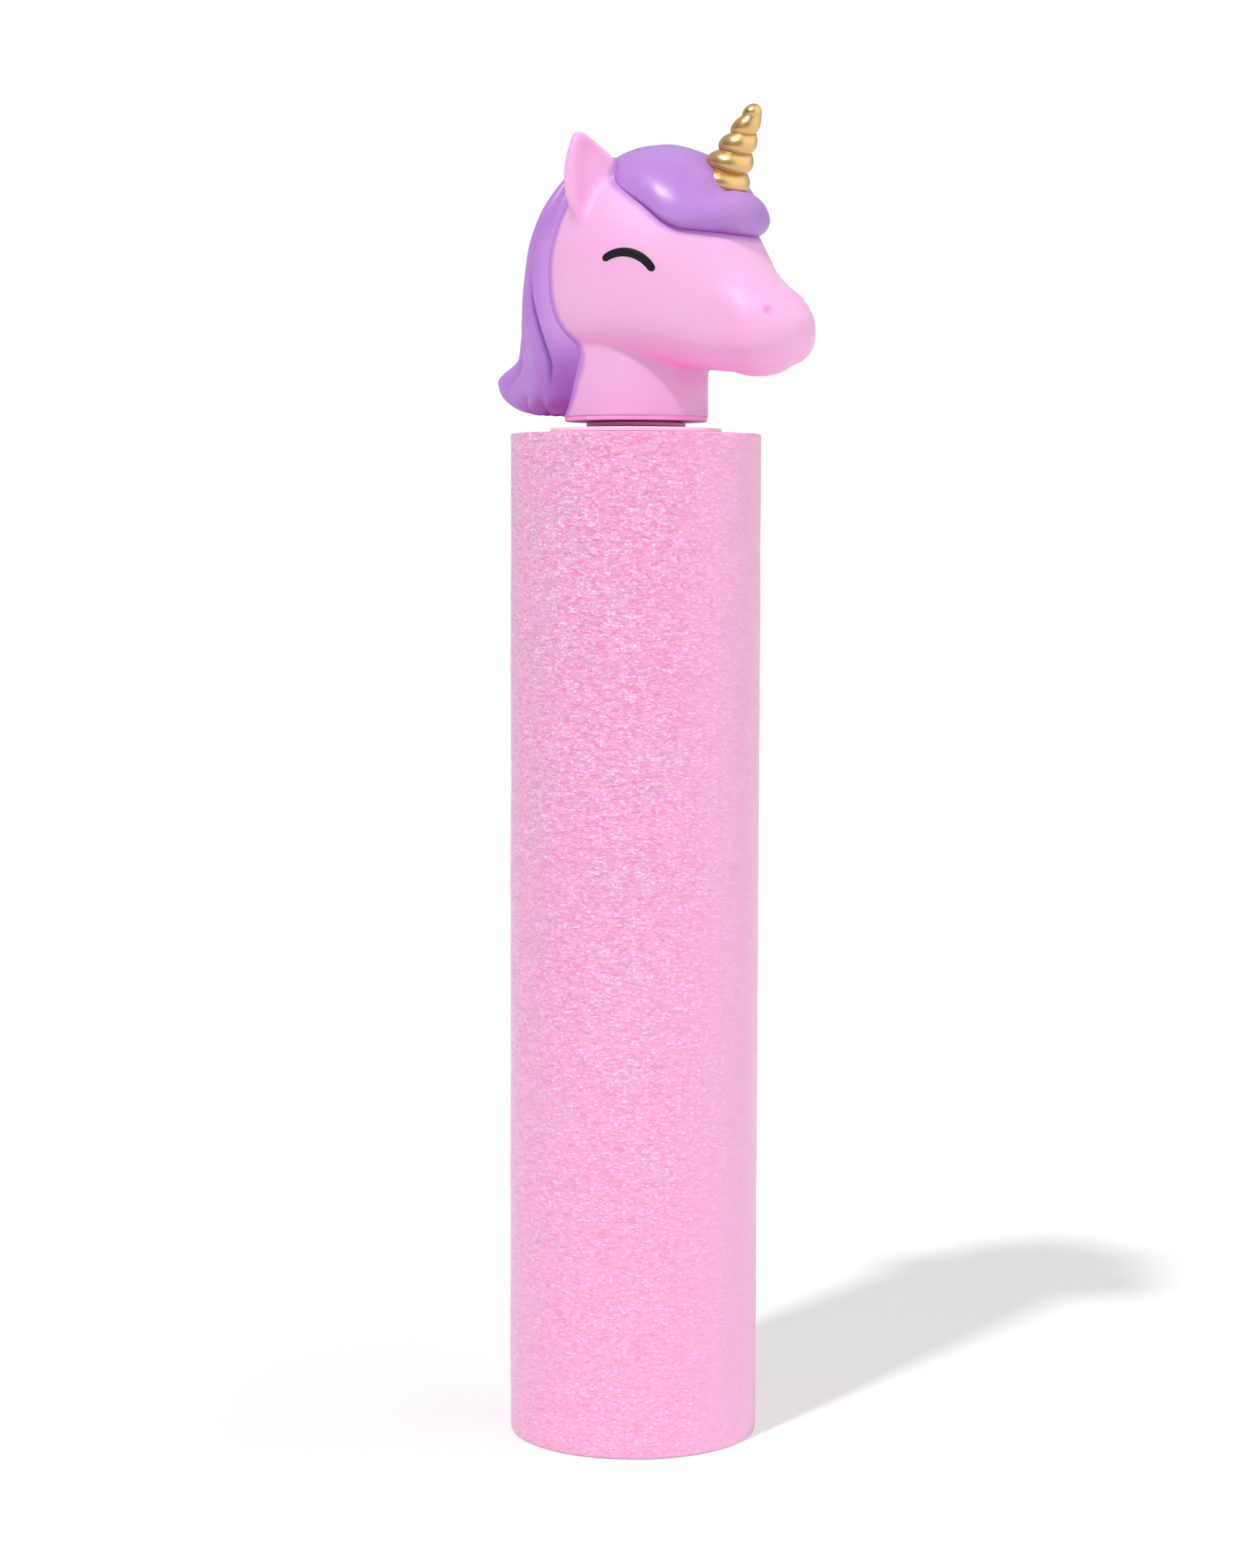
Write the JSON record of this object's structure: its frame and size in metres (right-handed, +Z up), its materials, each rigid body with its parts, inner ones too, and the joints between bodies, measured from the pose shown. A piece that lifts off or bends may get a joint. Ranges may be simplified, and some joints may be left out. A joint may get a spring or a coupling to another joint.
{
  "type": "water squirter",
  "caption": "Foam-sleeved pump water squirter: a sliding, turning plunger with a moulded unicorn-head handle that draws water in through the foot and shoots it out.",
  "frame": {"origin": "middle of the object's box at the floor that the squirter stands on", "axes": "+Z up along the barrel, +X the way the head looks, +Y the head's left"},
  "size_m": [0.0818, 0.06, 0.3175],
  "materials": {
    "foam": "matte",
    "barrel": "satin",
    "cap": "satin",
    "seal": "matte",
    "plunger": "satin",
    "head": "satin",
    "hair": "satin",
    "horn": "polished",
    "eye": "satin"
  },
  "bodies": {
    "barrel": {"foam_sleeve": "foam", "barrel_tube": "barrel", "nozzle_cap": "cap", "rear_cap": "cap"},
    "seals": {"seal_ring_upper": "seal", "seal_ring_lower": "seal"},
    "plunger": {"piston": "barrel", "plunger_rod": "plunger", "rod_collar": "plunger", "neck_insert": "head", "head_shell": "head", "mane": "hair", "forelock": "hair", "horn": "horn", "eye_left": "eye", "eye_right": "eye"}
  },
  "joints": [
    {"name": "plunger_slide", "type": "slide", "parent": "barrel", "child": "seals", "axis": [0, 0, 1], "range_m": [0, 0.2]},
    {"name": "head_turn", "type": "hinge", "parent": "seals", "child": "plunger", "pos_m": [-0.005, 0, 0], "axis": [0, 0, 1], "continuous": true}
  ]
}
